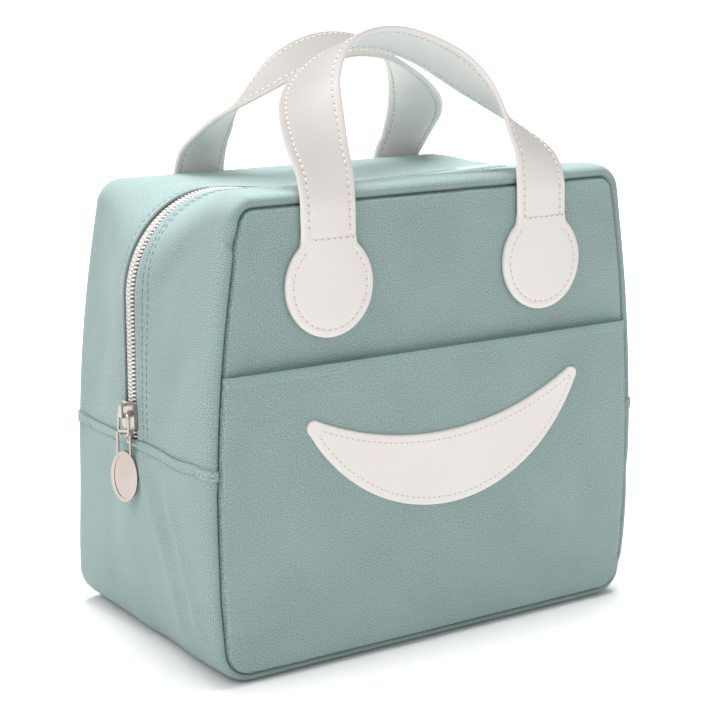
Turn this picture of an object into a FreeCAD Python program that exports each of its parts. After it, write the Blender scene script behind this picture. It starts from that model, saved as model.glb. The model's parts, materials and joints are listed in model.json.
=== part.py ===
"""Soft insulated lunch bag with two carrying handles and a zip that runs over its top.

Millimetres. The bag stands on Z = 0 with the origin at the middle of its foot. The front, with the
slip pocket, faces -Y. The zip runs round the middle of the gusset, and its slider is parked at the
closed end, low on the left side, towards -X.
"""
import FreeCAD
import Part

import math
import os

V = FreeCAD.Vector

# Body, outside
body_height = 205.0
body_half_width = 118.5         # over the upright stretch of the sides
foot_half_width = body_half_width - 9.0     # at the floor, where the sides curve in
upright_from = 88.0             # height from which the sides stand upright
top_corner_radius = 44.0
foot_corner_radius = 12.0
foot_half_depth = 73.0          # the front and the back lean in from here
top_half_depth = 66.5
roll_radius = 7.0               # roll of the gusset round the panels

# Front and back panels, inside the gusset's roll
panel_foot = 5.2                # heights of the panel's lower and upper seams
panel_top = body_height - panel_foot
panel_foot_half_width = foot_half_width - 4.0
panel_half_width = body_half_width - 5.5    # at its widest
panel_waist = body_height / 2 + 2.5         # height of its widest point
panel_top_half_width = body_half_width - 20.0
panel_foot_corner = 16.0
panel_top_corner = 14.0

# Layers of the wall, from outside in
fabric = 0.8
foam = 3.5
lining = 0.4
layer_gap = 0.15
least_roll = 1.0                # tightest roll of an inner layer

# Seams and folds
seam_gap = 0.3
side_seam_height = 92.0         # upper gusset strips meet the lower gusset
fold_rise = 3.0                 # the walls fold this far above the pocket when the mouth opens
fold_gap = 0.4

# Slip pocket and the crescent sewn on it
pocket_height = 135.0
pocket_thickness = 1.0
crescent_half_width = 77.0
crescent_foot = 63.7            # height of its lowest point
crescent_waist = 33.6           # its depth at the middle
crescent_tip_height = 111.3
crescent_tip = 6.4              # depth of a rounded tip
crescent_thickness = 1.2
crescent_turn = 2.2             # degrees, right tip up
crescent_shift = 4.0            # towards the right of the bag's middle

# Zip: tape, rows of teeth and end stops
tape_half_width = 14.0
tape_thickness = 0.6
tape_gap = 0.4                  # between the two tapes
slot_half_width = 4.4           # the fabric leaves the teeth bare over this
foam_clearance = 1.0            # foam stops this far short of the tape
tooth_pitch = 2.2
tooth_width = 1.3
tooth_depth = 0.75
row_width = 2.9
row_gap = 0.3                   # between the closed rows
row_rise = 0.5                  # teeth stand this far out of the fabric
stop_height = 2.0
stop_offset = 1.2               # above the side seam

# Zip slider
slider_rise = 8.6               # its lower end above the side seam at rest
slider_length = 12.4
slider_shoulder = 11.2          # width at the lower, parting end
slider_tail = 10.0              # width at the upper end
slider_corner = 1.6
slider_plate = 1.2
slider_under_plate = 1.0
slider_lip = 0.6
slider_clearance = 0.3
post_width = 2.0                # wedge between the plates, which parts the rows
post_length = 4.6
bridge_width = 3.0
bridge_bar = 0.95
bridge_span = 6.2               # length of the bridge over the slider
bridge_drop = 0.6               # from the tail end of the slider

# Ring and pull tab
wire_radius = 0.65
wire_clearance = 0.15
ring_rise = 2.4                 # ring's wire above the slider's plate
ring_width = 8.8                # between the middles of its limbs
ring_height = 9.5
ring_corner = 2.0
pull_turn = 30.0                # degrees about the upright, so that the loops link
pull_loop_width = 6.4
pull_loop_corner = 1.2
pull_oval_width = 13.5
pull_oval_height = 23.4
pull_drop = 30.85               # from the ring's lower limb to the lowest point
pull_thickness = 1.5
pull_rim = 1.6
pull_recess = 0.4

# Handles
strap_width = 28.0
strap_leather = 2.1
strap_backing = 1.2
strap_gap = 0.2                 # between leather and backing
handle_seat = 0.5               # between a handle and the bag's face
tab_radius = 22.5
tab_thickness = 3.0
tab_spacing = body_half_width               # between the middles of a handle's tabs
tab_drop = 20.0                 # from the cross stitch to the middle of the round tab
stitch_drop = 16.0              # from the bag's top to the cross stitch, where the strap bends
front_shift = 0.0               # sideways, at the tabs and at the top of the strap
front_lean_shift = 0.0
back_shift = 18.0
back_lean_shift = 20.0
shift_rise = 50.0               # a strap drifts from one to the other over this height
strap_straight = 8.0            # the strap starts straight up the face over this length
apex_tilt = 14.0                # degrees that the strap's face turns from level at its top
twist_from = 0.08               # share of the strap's length, from a tab
twist_to = 0.31
strap_stations = 25

# Each strap's route above its stitch: share of the way from its tab to the middle of the handle,
# share of the way from the face to the middle of the bag, height above the bag's top
front_leg = ((0.0, 0.011, 1.0), (0.05, 0.098, 19.0), (0.176, 0.286, 37.0),
             (0.437, 0.541, 54.0), (0.723, 0.692, 64.0), (1.0, 0.737, 67.5))
back_leg = ((-0.012, 0.019, 1.0), (-0.04, 0.1, 13.0), (0.025, 0.32, 29.0),
            (0.26, 0.556, 46.0), (0.63, 0.692, 57.0), (1.0, 0.729, 61.0))

# Worked out from the sizes above
reach = 200.0                   # past the bag on every side
lean = math.atan2(foot_half_depth - top_half_depth, body_height)
foam_inset = fabric + layer_gap
lining_inset = foam_inset + foam + layer_gap
inside_inset = lining_inset + lining
foam_slot = tape_half_width + foam_clearance
corner_x = body_half_width - top_corner_radius
corner_z = body_height - top_corner_radius
fold_height = pocket_height + fold_rise
stitch_height = body_height - stitch_drop
tab_height = stitch_height - tab_drop
slider_foot = side_seam_height + slider_rise
parted_gap = post_width + 2 * slider_clearance
upright_run = corner_z - fold_height
corner_run = top_corner_radius * math.pi / 2
zip_run = 2 * (upright_run + corner_run + corner_x)
plate_rise = row_rise + slider_clearance
ring_x = -(body_half_width + plate_rise + slider_plate + ring_rise)
bridge_sill = slider_foot + slider_length - bridge_drop - bridge_span + bridge_bar
ring_top = bridge_sill + wire_radius + wire_clearance
ring_foot = ring_top - ring_height
pull_foot = ring_foot - pull_drop
strap_thickness = strap_leather + strap_gap + strap_backing


def line(a, b):
    return Part.LineSegment(a, b).toShape()


def arc(a, middle, b):
    return Part.Arc(a, middle, b).toShape()


def box(low, high):
    return Part.makeBox(high[0] - low[0], high[1] - low[1], high[2] - low[2], V(*low))


def band(low, high):
    """Everything between two heights."""
    return box((-reach, -reach, low), (reach, reach, high))


def beside(side, inner, outer=reach):
    """Everything from inner to outer off the middle plane, on the front (-1) or back (1) side."""
    ends = sorted((side * inner, side * outer))
    return box((-reach, ends[0], -reach), (reach, ends[1], 2 * reach))


def mirrored_x(point):
    return V(-point.x, point.y, point.z)


def edges_along(solid, axis):
    """The straight edges of a solid that run along a direction."""
    return [e for e in solid.Edges if abs(e.tangentAt(e.FirstParameter).dot(axis)) > 0.9]


def side_curve(inset):
    """The body's right-hand outline from the floor to the top, as points for lines and arcs."""
    step = body_half_width - foot_half_width
    bulge = (step * step + upright_from * upright_from) / (2 * step)
    middle = V(body_half_width - bulge, 0, upright_from)
    drop = upright_from - foot_corner_radius
    away = math.sqrt((bulge - foot_corner_radius) ** 2 - drop ** 2)
    foot = V(middle.x + away, 0, foot_corner_radius)
    out = V(foot.x - middle.x, 0, foot.z - middle.z).normalize()
    foot_half = V(out.x, 0, out.z - 1).normalize()
    side_half = V(out.x + 1, 0, out.z).normalize()
    corner = V(corner_x, 0, corner_z)
    corner_half = V(1, 0, 1).normalize()
    small = foot_corner_radius - inset
    large = bulge - inset
    top = top_corner_radius - inset
    foot_end = middle + out * large
    upright = V(body_half_width - inset, 0, upright_from)
    upright_top = V(body_half_width - inset, 0, corner_z)
    return (
        (V(foot.x, 0, inset), foot + foot_half * small, foot_end),
        (foot_end, middle + side_half * large, upright),
        (upright, upright_top),
        (upright_top, corner + corner_half * top, V(corner_x, 0, body_height - inset)),
    )


def outline(inset):
    """The body's front outline, drawn in by inset, as a wire on the middle plane."""
    right = side_curve(inset)
    left = [tuple(mirrored_x(p) for p in reversed(run)) for run in reversed(right)]
    runs = list(right) + [(right[-1][-1], left[0][0])] + left + [(left[-1][-1], right[0][0])]
    return Part.Wire([line(*run) if len(run) == 2 else arc(*run) for run in runs])


def face_y(height, inset=0.0):
    """How far the leaning front or back stands from the middle plane at a height."""
    return foot_half_depth - height * math.tan(lean) - inset / math.cos(lean)


def body(inset):
    """The whole bag as one solid, drawn in by inset."""
    prism = Part.Face(outline(inset)).extrude(V(0, 2 * reach, 0))
    prism.translate(V(0, -reach, 0))
    low = -foot_corner_radius
    high = body_height + foot_corner_radius
    corners = [V(-reach, -face_y(low, inset), low), V(-reach, -face_y(high, inset), high),
               V(-reach, face_y(high, inset), high), V(-reach, face_y(low, inset), low)]
    wedge = Part.Face(Part.makePolygon(corners + corners[:1])).extrude(V(2 * reach, 0, 0))
    solid = prism.common(wedge)
    faces = [f for f in solid.Faces if abs(f.normalAt(0, 0).y) > 0.9]
    edges = [edge for face in faces for edge in face.OuterWire.Edges]
    return solid.makeFillet(max(roll_radius - inset, least_roll), edges)


def panel_blank(depth, grow=0.0):
    """The outline of a panel, let out by grow, as a prism from the middle plane to depth."""
    foot = V(panel_foot_half_width + grow, 0, panel_foot - grow)
    waist = V(panel_half_width + grow, 0, panel_waist)
    top = V(panel_top_half_width + grow, 0, panel_top + grow)
    wire = Part.Wire([line(mirrored_x(foot), foot), arc(foot, waist, top), line(top, mirrored_x(top)),
                      arc(mirrored_x(top), mirrored_x(waist), mirrored_x(foot))])
    blank = Part.Face(wire).extrude(V(0, depth, 0))
    for radius, upper in ((panel_foot_corner, False), (panel_top_corner, True)):
        corners = [e for e in edges_along(blank, V(0, 1, 0)) if (e.CenterOfMass.z > panel_waist) == upper]
        blank = blank.makeFillet(radius + grow, corners)
    return blank


def on_face(solid, side):
    """Stands a plate, drawn upright in front of Y = 0, on the leaning front or back."""
    placed = solid.copy()
    placed.rotate(V(0, 0, 0), V(1, 0, 0), -math.degrees(lean))
    placed.translate(V(0, -foot_half_depth, 0))
    return placed if side < 0 else placed.mirror(V(0, 0, 0), V(0, 1, 0))


def panel_zone(side, grow=0.0):
    """What lies inside a panel's outline, let out by grow, from the depth of the roll outwards."""
    depth = roll_radius + grow
    blank = panel_blank(-depth - reach, grow)
    blank.translate(V(0, depth, 0))
    return on_face(blank, side)


def panel(shell, side):
    return shell.common(panel_zone(side))


def gusset(shell):
    return shell.cut(panel_zone(-1, seam_gap)).cut(panel_zone(1, seam_gap))


def plate(face, rise, thickness):
    """A face on Y = 0 made a plate that starts rise in front of it."""
    solid = face.extrude(V(0, -thickness, 0))
    solid.translate(V(0, -rise, 0))
    return solid


def make_walls():
    """Fabric, foam and lining of the base and of the two halves that fold open."""
    skin = body(0).cut(body(fabric))
    core = body(foam_inset).cut(body(foam_inset + foam))
    inner = body(lining_inset).cut(body(inside_inset))
    below_seam = band(-reach, side_seam_height - seam_gap / 2)
    above_seam = band(side_seam_height + seam_gap / 2, fold_height - fold_gap / 2)
    below_fold = band(-reach, fold_height - fold_gap / 2)
    above_fold = band(fold_height + fold_gap / 2, reach + body_height)
    belt = gusset(skin)
    padding = gusset(core)
    nodes = {
        "lower_gusset": belt.common(below_seam),
        "lower_gusset_foam": padding.common(below_seam),
    }
    lower_lining = inner.common(below_fold)
    slot = band(side_seam_height, fold_height).common(beside(1, -slot_half_width, slot_half_width))
    nodes["lower_lining"] = lower_lining.cut(slot)
    for name, side in (("front", -1), ("back", 1)):
        nodes[name + "_panel_lower"] = panel(skin, side).common(below_fold)
        nodes[name + "_panel_upper"] = panel(skin, side).common(above_fold)
        nodes[name + "_foam_lower"] = panel(core, side).common(below_fold)
        nodes[name + "_foam_upper"] = panel(core, side).common(above_fold)
        strip = belt.common(beside(side, slot_half_width))
        nodes[name + "_gusset_ends"] = strip.common(above_seam)
        nodes[name + "_gusset_upper"] = strip.common(above_fold)
        strip_foam = padding.common(beside(side, foam_slot))
        nodes[name + "_gusset_foam_ends"] = strip_foam.common(above_seam)
        nodes[name + "_gusset_foam_upper"] = strip_foam.common(above_fold)
        half_lining = inner.common(above_fold)
        nodes[name + "_lining_upper"] = half_lining.common(beside(side, slot_half_width))
    return nodes


def make_pocket():
    """The slip pocket on the front panel and the crescent sewn on it."""
    pocket = panel_blank(-pocket_thickness).common(band(-reach, pocket_height))
    pocket.translate(V(0, -layer_gap, 0))
    tip = V(crescent_half_width, 0, crescent_tip_height)
    low = V(tip.x - crescent_tip / 4, 0, tip.z - crescent_tip / 2)
    high = V(tip.x - crescent_tip, 0, tip.z + crescent_tip / 3)
    foot = V(0, 0, crescent_foot)
    waist = V(0, 0, crescent_foot + crescent_waist)
    wire = Part.Wire([arc(mirrored_x(low), foot, low), arc(low, tip, high),
                      arc(high, waist, mirrored_x(high)),
                      arc(mirrored_x(high), mirrored_x(tip), mirrored_x(low))])
    rise = layer_gap + pocket_thickness + layer_gap
    crescent = plate(Part.Face(wire), rise, crescent_thickness)
    crescent.rotate(waist, V(0, 1, 0), -crescent_turn)
    crescent.translate(V(crescent_shift, 0, 0))
    return {"front_pocket": on_face(pocket, -1), "crescent_patch": on_face(crescent, -1)}


def zip_point(run, rise):
    """The point on the zip's line at a distance past the left fold, rise outside the fabric."""
    if run > zip_run / 2:
        return mirrored_x(zip_point(zip_run - run, rise))
    if run < upright_run:
        return V(-body_half_width - rise, 0, fold_height + run)
    if run < upright_run + corner_run:
        angle = (run - upright_run) / top_corner_radius
        radius = top_corner_radius + rise
        return V(-corner_x - radius * math.cos(angle), 0, corner_z + radius * math.sin(angle))
    return V(-corner_x + run - upright_run - corner_run, 0, body_height + rise)


def tooth_row(start, end, side, gap):
    """One row of teeth along the zip's line, on a cord that joins their roots."""
    under = -(foam_inset - layer_gap / 2)
    root = row_rise - tooth_depth
    phase = 0.5 if side > 0 else 0.0
    count = int((end - start) / tooth_pitch - phase)
    outer = [zip_point(start, root)]
    inner = [zip_point(start, under)]
    for index in range(count):
        run = start + (index + phase) * tooth_pitch + (tooth_pitch - tooth_width) / 2
        outer += [zip_point(run, root), zip_point(run, row_rise)]
        outer += [zip_point(run + tooth_width, row_rise), zip_point(run + tooth_width, root)]
        inner.append(zip_point(run + tooth_width / 2, under))
    outer.append(zip_point(end, root))
    inner.append(zip_point(end, under))
    points = outer + inner[::-1]
    row = Part.Face(Part.makePolygon(points + points[:1])).extrude(V(0, side * row_width, 0))
    row.translate(V(0, side * gap / 2, 0))
    return row


def make_zip():
    """Tapes, rows of teeth and end stops. Tapes and rows stand parted where the slider travels."""
    tape = body(foam_inset).cut(body(foam_inset + tape_thickness))
    above_seam = band(side_seam_height + seam_gap / 2, fold_height - fold_gap / 2)
    above_fold = band(fold_height + fold_gap / 2, reach + body_height)
    nodes = {}
    tape_ends = []
    row_ends = []
    low = side_seam_height + stop_offset + stop_height + seam_gap - fold_height
    high = -fold_gap / 2
    parting = box((-reach, -parted_gap / 2, 0), (0, parted_gap / 2, body_height))
    for name, side in (("front", -1), ("back", 1)):
        strip = tape.common(beside(side, tape_gap / 2, tape_half_width))
        nodes[name + "_zip_tape"] = strip.common(above_fold)
        tape_ends += strip.common(above_seam).cut(parting).Solids
        nodes[name + "_zip_teeth"] = tooth_row(fold_gap / 2, zip_run - fold_gap / 2, side, row_gap)
        row_ends.append(tooth_row(low, high, side, parted_gap))
        row_ends.append(tooth_row(zip_run - high, zip_run - low, side, row_gap))
    nodes["zip_tape_ends"] = Part.makeCompound(tape_ends)
    nodes["zip_teeth_ends"] = Part.makeCompound(row_ends)
    stop_low = side_seam_height + stop_offset
    half = parted_gap / 2 + row_width
    depth = foam_inset - layer_gap / 2
    stop = box((-body_half_width - row_rise, -half, stop_low),
               (-body_half_width + depth, half, stop_low + stop_height))
    nodes["zip_stops"] = Part.makeCompound([stop, stop.mirror(V(0, 0, 0), V(1, 0, 0))])
    return nodes


def on_left(face, rise, thickness):
    """A face in Y and Z made a plate, rise outside the left side of the bag."""
    solid = face.extrude(V(-thickness, 0, 0))
    solid.translate(V(-body_half_width - rise, 0, 0))
    return solid


def slider_face(shrink):
    """Outline of a slider plate: shoulders at the foot, narrower at the tail."""
    low = slider_foot + shrink
    high = slider_foot + slider_length - shrink
    wide = slider_shoulder / 2 - shrink
    slim = slider_tail / 2 - shrink
    corners = [V(0, -wide, low), V(0, wide, low), V(0, slim, high), V(0, -slim, high)]
    blank = Part.Face(Part.makePolygon(corners + corners[:1])).extrude(V(-1, 0, 0))
    rounded = blank.makeFillet(slider_corner, edges_along(blank, V(1, 0, 0)))
    return max(rounded.Faces, key=lambda f: f.CenterOfMass.x)


def make_slider():
    """Slider: a plate with lips over the teeth, a wedge, a plate under the tape and a bridge."""
    top = on_left(slider_face(0), plate_rise, slider_plate)
    lips = on_left(slider_face(0), plate_rise - slider_lip, slider_lip)
    lips = lips.cut(beside(1, -slot_half_width, slot_half_width))
    under_rise = -(foam_inset + tape_thickness + slider_clearance)
    under = on_left(slider_face(slider_lip), under_rise - slider_under_plate, slider_under_plate)
    low = slider_foot + slider_lip
    half = post_width / 2
    wedge = [V(0, -half / 2, low), V(0, half / 2, low), V(0, half, low + post_length / 2),
             V(0, 0, low + post_length), V(0, -half, low + post_length / 2)]
    wedge_face = Part.Face(Part.makePolygon(wedge + wedge[:1]))
    post = on_left(wedge_face, under_rise, plate_rise - under_rise)
    solid = top.fuse([lips, under, post]).removeSplitter()

    high = slider_foot + slider_length - bridge_drop
    base = -(body_half_width + plate_rise + slider_plate)
    hollow = ring_rise + wire_radius + wire_clearance
    outer = box((base - hollow - bridge_bar, -bridge_width / 2, high - bridge_span),
                (base, bridge_width / 2, high))
    crown = [e for e in edges_along(outer, V(0, 1, 0)) if e.CenterOfMass.x < base - hollow]
    outer = outer.makeFillet(bridge_bar, crown)
    inner = box((base - hollow, -bridge_width, bridge_sill),
                (base, bridge_width, high - bridge_bar))
    return {"slider_body": solid, "slider_bridge": outer.cut(inner)}


def wire_sweep(edges, start, direction):
    """A round wire along edges that run on smoothly."""
    section = Part.Wire([Part.makeCircle(wire_radius, start, direction)])
    return Part.Wire(edges).makePipeShell([section], True, False)


def quarter(centre, radius, first, second):
    """A quarter circle from the direction first to the direction second."""
    half = (first + second).normalize()
    return arc(centre + first * radius, centre + half * radius, centre + second * radius)


def make_ring():
    """Wire ring that hangs in the slider's bridge."""
    half = ring_width / 2
    r = ring_corner
    y, z = V(0, 1, 0), V(0, 0, 1)
    mid = V(ring_x, 0, (ring_top + ring_foot) / 2)
    up = ring_height / 2
    spots = [mid + y * (half - r) + z * (up - r), mid - y * (half - r) + z * (up - r),
             mid - y * (half - r) - z * (up - r), mid + y * (half - r) - z * (up - r)]
    turns = [(y, z), (z, -y), (-y, -z), (-z, y)]
    bends = [quarter(spot, r, *turn) for spot, turn in zip(spots, turns)]
    edges = []
    for index, bend in enumerate(bends):
        after = bends[(index + 1) % len(bends)]
        edges += [bend, line(bend.Vertexes[-1].Point, after.Vertexes[0].Point)]
    start = bends[0].Vertexes[0].Point
    return {"pull_ring": wire_sweep(edges, start, z)}


def make_pull():
    """Pull tab: a wire loop on an oval plate with a raised rim."""
    x, y, z = V(1, 0, 0), V(0, 1, 0), V(0, 0, 1)
    loop_top = ring_foot + 2 * wire_radius + wire_clearance
    half = pull_loop_width / 2
    r = pull_loop_corner
    oval_mid = V(ring_x, 0, pull_foot + pull_oval_height / 2)
    loop_foot = pull_foot + pull_oval_height - pull_rim - wire_radius
    right = V(ring_x, half - r, loop_top - r)
    left = V(ring_x, -half + r, loop_top - r)
    bends = [quarter(right, r, y, z), quarter(left, r, z, -y)]
    foot_right = V(ring_x, half, loop_foot)
    foot_left = V(ring_x, -half, loop_foot)
    edges = [line(foot_right, bends[0].Vertexes[0].Point), bends[0],
             line(bends[0].Vertexes[-1].Point, bends[1].Vertexes[0].Point), bends[1],
             line(bends[1].Vertexes[-1].Point, foot_left)]
    loop = wire_sweep(edges, foot_right, z)

    def oval(shrink, rise, thickness):
        tall = pull_oval_height / 2 - shrink
        wide = pull_oval_width / 2 - shrink
        ring = Part.Ellipse(oval_mid + z * tall, oval_mid + y * wide, oval_mid).toShape()
        solid = Part.Face(Part.Wire([ring])).extrude(x * thickness)
        solid.translate(x * rise)
        return solid

    half_plate = pull_thickness / 2
    plate_solid = oval(0, -half_plate, pull_thickness)
    plate_solid = plate_solid.cut(oval(pull_rim, -half_plate, pull_recess))
    plate_solid = plate_solid.cut(oval(pull_rim, half_plate - pull_recess, pull_recess))
    tab = plate_solid.fuse(loop).removeSplitter()
    tab.rotate(V(ring_x, 0, 0), z, pull_turn)
    return {"pull_tab": tab}


def ease(share):
    """A smooth rise from 0 to 1."""
    share = min(1.0, max(0.0, share))
    return share * share * (3 - 2 * share)


def strap_points(leg, shift, lean_shift):
    """The middle line of a front strap, from its left stitch over the top to the right one."""
    seat = handle_seat + strap_thickness / 2
    straight_top = strap_straight - stitch_drop
    straight = tuple((0.0, 0.0, straight_top - strap_straight * share) for share in (1, 0.5, 0))
    points = []
    for aside, inward, rise in straight + leg:
        slide = shift + (lean_shift - shift) * ease((rise - straight_top) / shift_rise)
        away = face_y(min(body_height + rise, body_height)) + seat - inward * top_half_depth
        points.append((slide, (1 - aside) * tab_spacing / 2, -away, body_height + rise))
    left = [V(slide - x, y, z) for slide, x, y, z in points]
    right = [V(slide + x, y, z) for slide, x, y, z in reversed(points[:-1])]
    return left + right


def strap_layer(points, inner, outer):
    """One layer of a strap, between two distances off its middle line towards its outer face."""
    curve = Part.BSplineCurve()
    curve.interpolate(points)
    length = curve.length()
    tilt = math.radians(apex_tilt)
    sections = []
    for index in range(strap_stations):
        share = index / (strap_stations - 1)
        at = curve.parameterAtDistance(length * share)
        point = curve.value(at)
        along = V(*curve.tangent(at)[0])
        turn = ease((0.5 - abs(share - 0.5) - twist_from) / (twist_to - twist_from)) * math.pi / 2
        hand = 1 if share < 0.5 else -1
        level = math.sin(turn)
        across = V(hand * math.cos(turn), -level * math.cos(tilt), level * math.sin(tilt))
        across = (across - along * across.dot(along)).normalize()
        out = across.cross(along)
        half = across * (strap_width / 2)
        corners = [point - half + out * inner, point + half + out * inner,
                   point + half + out * outer, point - half + out * outer]
        sections.append(Part.makePolygon(corners + corners[:1]))
    return Part.makeLoft(sections, True, False)


def make_handles():
    """Two straps, each of leather on a backing, and the round tabs that hold them."""
    nodes = {}
    half = strap_thickness / 2
    sides = (("front", -1, front_leg, front_shift, front_lean_shift),
             ("back", 1, back_leg, back_shift, back_lean_shift))
    for name, side, leg, shift, lean_shift in sides:
        points = strap_points(leg, shift, lean_shift)
        layers = {"_strap": (half - strap_leather, half), "_strap_backing": (-half, strap_backing - half)}
        for kind, (inner, outer) in layers.items():
            strap = strap_layer(points, inner, outer)
            nodes[name + kind] = strap if side < 0 else strap.mirror(V(0, 0, 0), V(0, 1, 0))
        for hand, spot in (("left", shift - tab_spacing / 2), ("right", shift + tab_spacing / 2)):
            circle = Part.makeCircle(tab_radius, V(spot, 0, tab_height), V(0, 1, 0))
            round_tab = plate(Part.Face(Part.Wire([circle])), handle_seat, tab_thickness)
            neck = box((spot - strap_width / 2, -handle_seat - tab_thickness, tab_height),
                       (spot + strap_width / 2, -handle_seat, stitch_height))
            tab = round_tab.fuse(neck).common(band(0, stitch_height - seam_gap))
            nodes[name + "_tab_" + hand] = on_face(tab.removeSplitter(), side)
    return nodes


os.makedirs("parts", exist_ok=True)
nodes = {}
for make in (make_walls, make_pocket, make_zip, make_slider, make_ring, make_pull, make_handles):
    nodes.update(make())
for name, shape in nodes.items():
    shape.exportStep("parts/" + name + ".step")
    print(name, len(shape.Solids), "solids", round(shape.Volume, 1), "mm3", shape.isValid())
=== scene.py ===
"""Soft insulated lunch bag: canvas, leather handles, zip and lining dressed on the CAD frame.

Shapes are worked out in millimetres and placed in metres. The front faces -Y, the zip runs over the
middle of the gusset, and its slider is parked low on the left, towards -X.
"""
import json
from functools import lru_cache, partial
from math import acos, asin, atan2, cos, exp, hypot, pi, radians, sin, sqrt

import bmesh
import bpy
from mathutils import Matrix, Vector, geometry, noise

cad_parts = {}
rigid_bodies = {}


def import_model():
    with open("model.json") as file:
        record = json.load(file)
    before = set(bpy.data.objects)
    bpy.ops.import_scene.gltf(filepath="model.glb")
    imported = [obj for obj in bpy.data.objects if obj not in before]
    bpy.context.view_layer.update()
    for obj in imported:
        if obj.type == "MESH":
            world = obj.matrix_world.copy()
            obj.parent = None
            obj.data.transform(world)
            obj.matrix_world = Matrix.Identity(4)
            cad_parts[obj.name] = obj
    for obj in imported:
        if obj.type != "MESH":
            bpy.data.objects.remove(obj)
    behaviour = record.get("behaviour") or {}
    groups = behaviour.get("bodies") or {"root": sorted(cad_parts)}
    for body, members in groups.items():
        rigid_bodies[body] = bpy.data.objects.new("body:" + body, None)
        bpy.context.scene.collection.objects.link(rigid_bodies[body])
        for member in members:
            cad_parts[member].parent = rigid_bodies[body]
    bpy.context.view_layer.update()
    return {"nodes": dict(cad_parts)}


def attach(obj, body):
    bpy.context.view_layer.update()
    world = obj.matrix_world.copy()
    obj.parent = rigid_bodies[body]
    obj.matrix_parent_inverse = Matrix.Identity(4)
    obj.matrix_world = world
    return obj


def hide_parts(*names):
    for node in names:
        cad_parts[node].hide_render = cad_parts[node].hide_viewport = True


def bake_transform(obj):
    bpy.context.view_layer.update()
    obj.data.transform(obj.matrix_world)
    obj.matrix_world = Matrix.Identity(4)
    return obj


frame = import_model()
scene = bpy.context.scene

MM = 0.001
FRONT, BACK = -1, 1
FOOT, FOOT_CORNER, SIDE, TOP_CORNER, TOP = range(5)  # parts of an outline, from the foot's middle

# Body, in mm
FACE_FOOT_DEPTH = 73.0  # front and back lean in from here
FACE_LEAN = 0.0317
WAIST = 78.0  # panels are widest at this height
SIDE_HALF_WIDTH = 118.2
SIDE_BULGE_RADIUS = 434.7  # below the upright stretch the sides curve in
SIDE_UPRIGHT_FROM = 88.0
SIDE_SEAM = 92.0  # upper gusset strips meet the lower gusset
POCKET_TOP = 135.0
CANVAS = 0.8
LINING_INSET = 6.5
LINING_EDGE = 1.5  # the lining comes this near to the panels' seams
FOAM = 2.6
TOP_FROM, TOP_TO = 145, 185  # the gusset's walls go over into its top between these heights

# Corner arcs of the zip's line: centre x, centre z, radius, first and last angle; the top differs by side
ZIP_FOOT_ARC = (99.4, 12.0, 12.0, -90, -10)
ZIP_TOP_ARCS = {-1: (72.2, 158.6, 46.0, 0, 90), 1: (86.2, 172.6, 32.0, 0, 90)}
LEVEL_FROM, LEVEL_TO = 40, 125  # between these heights the zip's stations lie level with the front seam's

# In metres: the bag's middle
BAG_MIDDLE = Vector((0, 0, 0.1))

SEAM_SHARE = 0.442  # of the side's length, at the side seam
# A strip's run from its middle to its end: part of the outline, shares of the run, shares of the part
UPPER_RUNS = ((TOP, 0.0, 0.39, 1.0, 0.0), (TOP_CORNER, 0.39, 0.6, 1.0, 0.0),
              (SIDE, 0.6, 1.0, 1.0, SEAM_SHARE - 0.05))
LOWER_RUNS = ((FOOT, 0.0, 0.5, 0.0, 1.0), (FOOT_CORNER, 0.5, 0.62, 0.0, 1.0),
              (SIDE, 0.62, 1.0, 0.0, SEAM_SHARE))
RING_RUNS = ((TOP, 0.0, 0.21, 1.0, 0.0), (TOP_CORNER, 0.21, 0.32, 1.0, 0.0), (SIDE, 0.32, 0.71, 1.0, 0.0),
             (FOOT_CORNER, 0.71, 0.76, 1.0, 0.0), (FOOT, 0.76, 1.0, 1.0, 0.0))
# Section of the roll beside a panel, from under the panel's edge: out from the seam, back from the face
ROLL = ((-1.0, 4.4), (0.1, 3.5), (0.5, 2.2), (1.3, 1.2), (2.5, 0.8), (3.8, 1.4), (4.75, 3.2), (5.1, 5.6),
        (5.2, 8.5))
ROLL_END = len(ROLL) - 1
EDGE_DROP = 3.2  # a panel's edge turns back this far into the seam
EDGE_ROUND = 0.6
EDGE_RIDGE = (4.6, 1.5, 0.3)  # and rises again: distance from the seam, width, height
HEM = ((5.0, -1.3), (0.4, -1.2), (0.0, -0.45))  # a hem's turned edge: back from the fold, lift


def ease(share):
    share = min(1.0, max(0.0, share))
    return share * share * (3 - 2 * share)


def mix(a, b, share):
    return a + (b - a) * share


def hump(distance, width):
    return exp(-(distance / width) ** 2)


def crowded(share):
    """A share from 0 to 1 with more stations towards both ends."""
    return 0.5 - 0.5 * cos(pi * share)


def rough(point, size, seed):
    """Soft unevenness from -1 to 1, with features of about size mm."""
    return noise.noise(Vector(point) / size + Vector((seed, 2.3 * seed, -seed)))


def face_depth(z):
    """How far the leaning front or back stands from the middle plane."""
    return FACE_FOOT_DEPTH - FACE_LEAN * z


def top_share(z):
    """How far a height of the gusset counts as its top, from 0 on the sides to 1."""
    return ease((z - TOP_FROM) / (TOP_TO - TOP_FROM))


def polar(x, z, radius, angle):
    return Vector((x + radius * cos(angle), z + radius * sin(angle)))


def upright(side, flat, y=0.0):
    """A point or direction (x, z) of an outline, set up on a side of the bag."""
    return Vector((side * flat.x, y, flat.y))


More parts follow.
